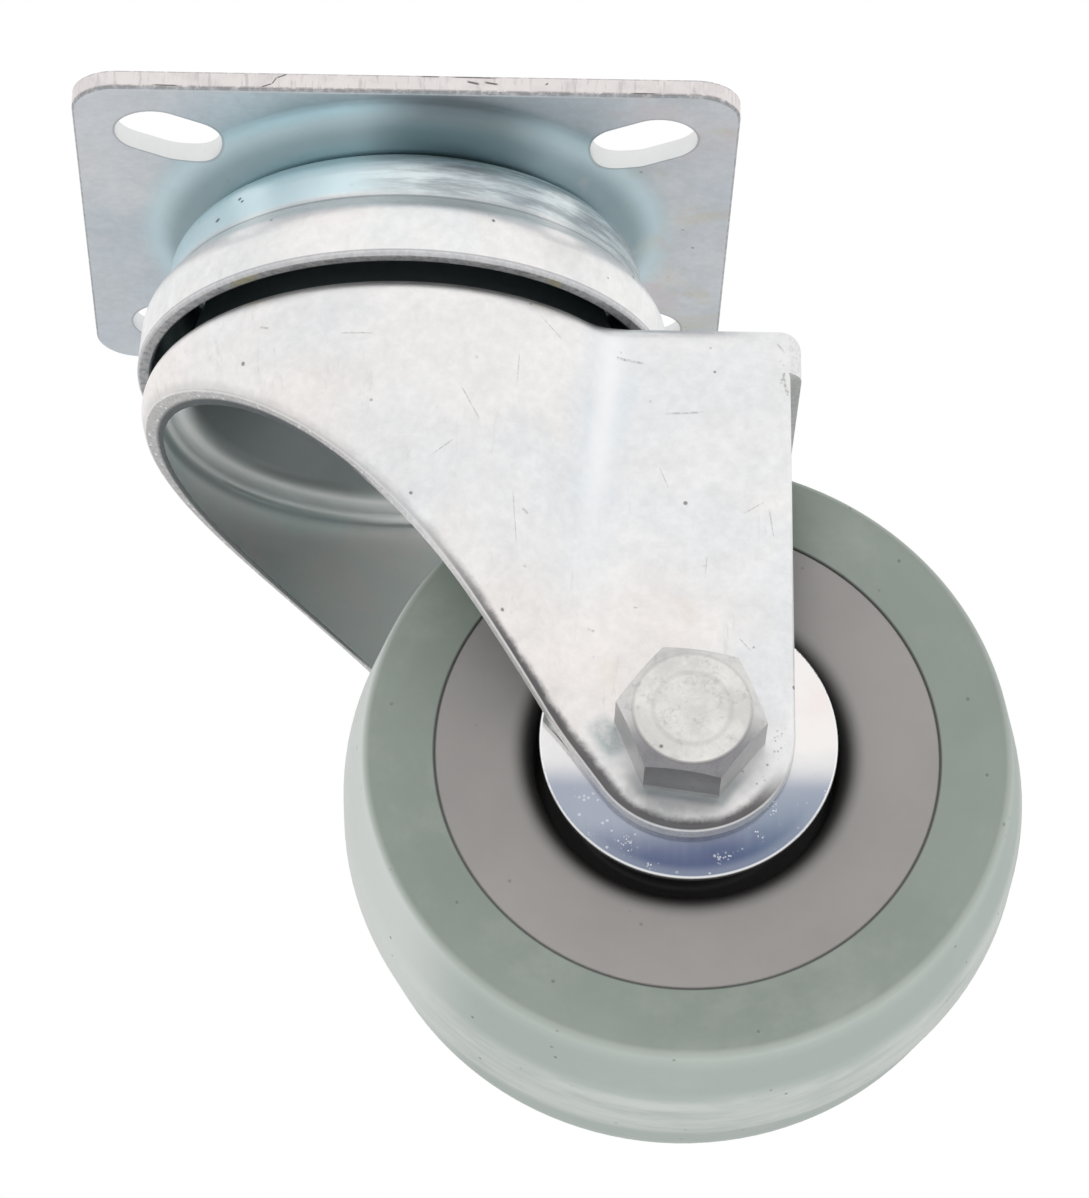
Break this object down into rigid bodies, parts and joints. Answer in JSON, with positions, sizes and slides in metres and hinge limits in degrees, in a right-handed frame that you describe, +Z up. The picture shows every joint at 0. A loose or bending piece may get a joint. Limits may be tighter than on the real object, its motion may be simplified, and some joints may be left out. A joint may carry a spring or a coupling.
{
  "type": "swivel castor",
  "caption": "Swivel castor with a slotted rectangular top plate, a double ball race head, a pressed offset fork and a rubber tyred wheel on a roller bearing.",
  "frame": {"origin": "middle of the top plate's upper face, on the swivel axis", "axes": "+Z up out of the plate's upper face along the swivel axis, +X from the swivel axis toward the wheel's axle, the bolt's head at -Y"},
  "size_m": [0.1424, 0.085, 0.1483],
  "materials": {
    "zinc_steel": "bright zinc plated pressed steel",
    "bolt_steel": "zinc plated forged steel",
    "polished_steel": "polished plated steel",
    "bearing_steel": "hardened steel with grease",
    "cage_plastic": "moulded plastic",
    "nylon": "nylon",
    "hub_plastic": "moulded warm grey plastic",
    "grey_rubber": "non-marking grey green rubber"
  },
  "bodies": {
    "mounting_head": {"top_plate": "zinc_steel", "raceway_ring": "zinc_steel", "kingpin": "zinc_steel", "kingpin_spacer": "bearing_steel", "lower_race_cup": "zinc_steel"},
    "fork_assembly": {"fork": "zinc_steel", "axle_bolt": "bolt_steel", "nut_washer": "bolt_steel", "axle_nut": "bolt_steel", "nut_insert": "nylon", "axle_sleeve": "bearing_steel", "dust_disc_near": "polished_steel", "dust_disc_far": "polished_steel"},
    "wheel": {"wheel_hub": "hub_plastic", "tyre": "grey_rubber"},
    "upper_ball_row": {"upper_balls": "bearing_steel"},
    "lower_ball_row": {"lower_balls": "bearing_steel"},
    "roller_row": {"roller_cage": "cage_plastic", "rollers": "bearing_steel"}
  },
  "joints": [
    {"name": "swivel", "type": "hinge", "parent": "mounting_head", "child": "fork_assembly", "pos_m": [0, 0, 0], "axis": [0, 0, 1], "continuous": true},
    {"name": "wheel_spin", "type": "hinge", "parent": "fork_assembly", "child": "wheel", "pos_m": [0.0424, 0, -0.0983], "axis": [0, 1, 0], "continuous": true},
    {"name": "upper_ball_orbit", "type": "hinge", "parent": "mounting_head", "child": "upper_ball_row", "pos_m": [0, 0, 0], "axis": [0, 0, 1], "continuous": true},
    {"name": "lower_ball_orbit", "type": "hinge", "parent": "mounting_head", "child": "lower_ball_row", "pos_m": [0, 0, 0], "axis": [0, 0, 1], "continuous": true},
    {"name": "roller_orbit", "type": "hinge", "parent": "fork_assembly", "child": "roller_row", "pos_m": [0.0424, 0, -0.0983], "axis": [0, 1, 0], "continuous": true}
  ],
  "couplings": [
    {"joint": "upper_ball_orbit", "follows": "swivel", "ratio": 0.5},
    {"joint": "lower_ball_orbit", "follows": "swivel", "ratio": 0.5},
    {"joint": "roller_orbit", "follows": "wheel_spin", "ratio": 0.5909}
  ]
}
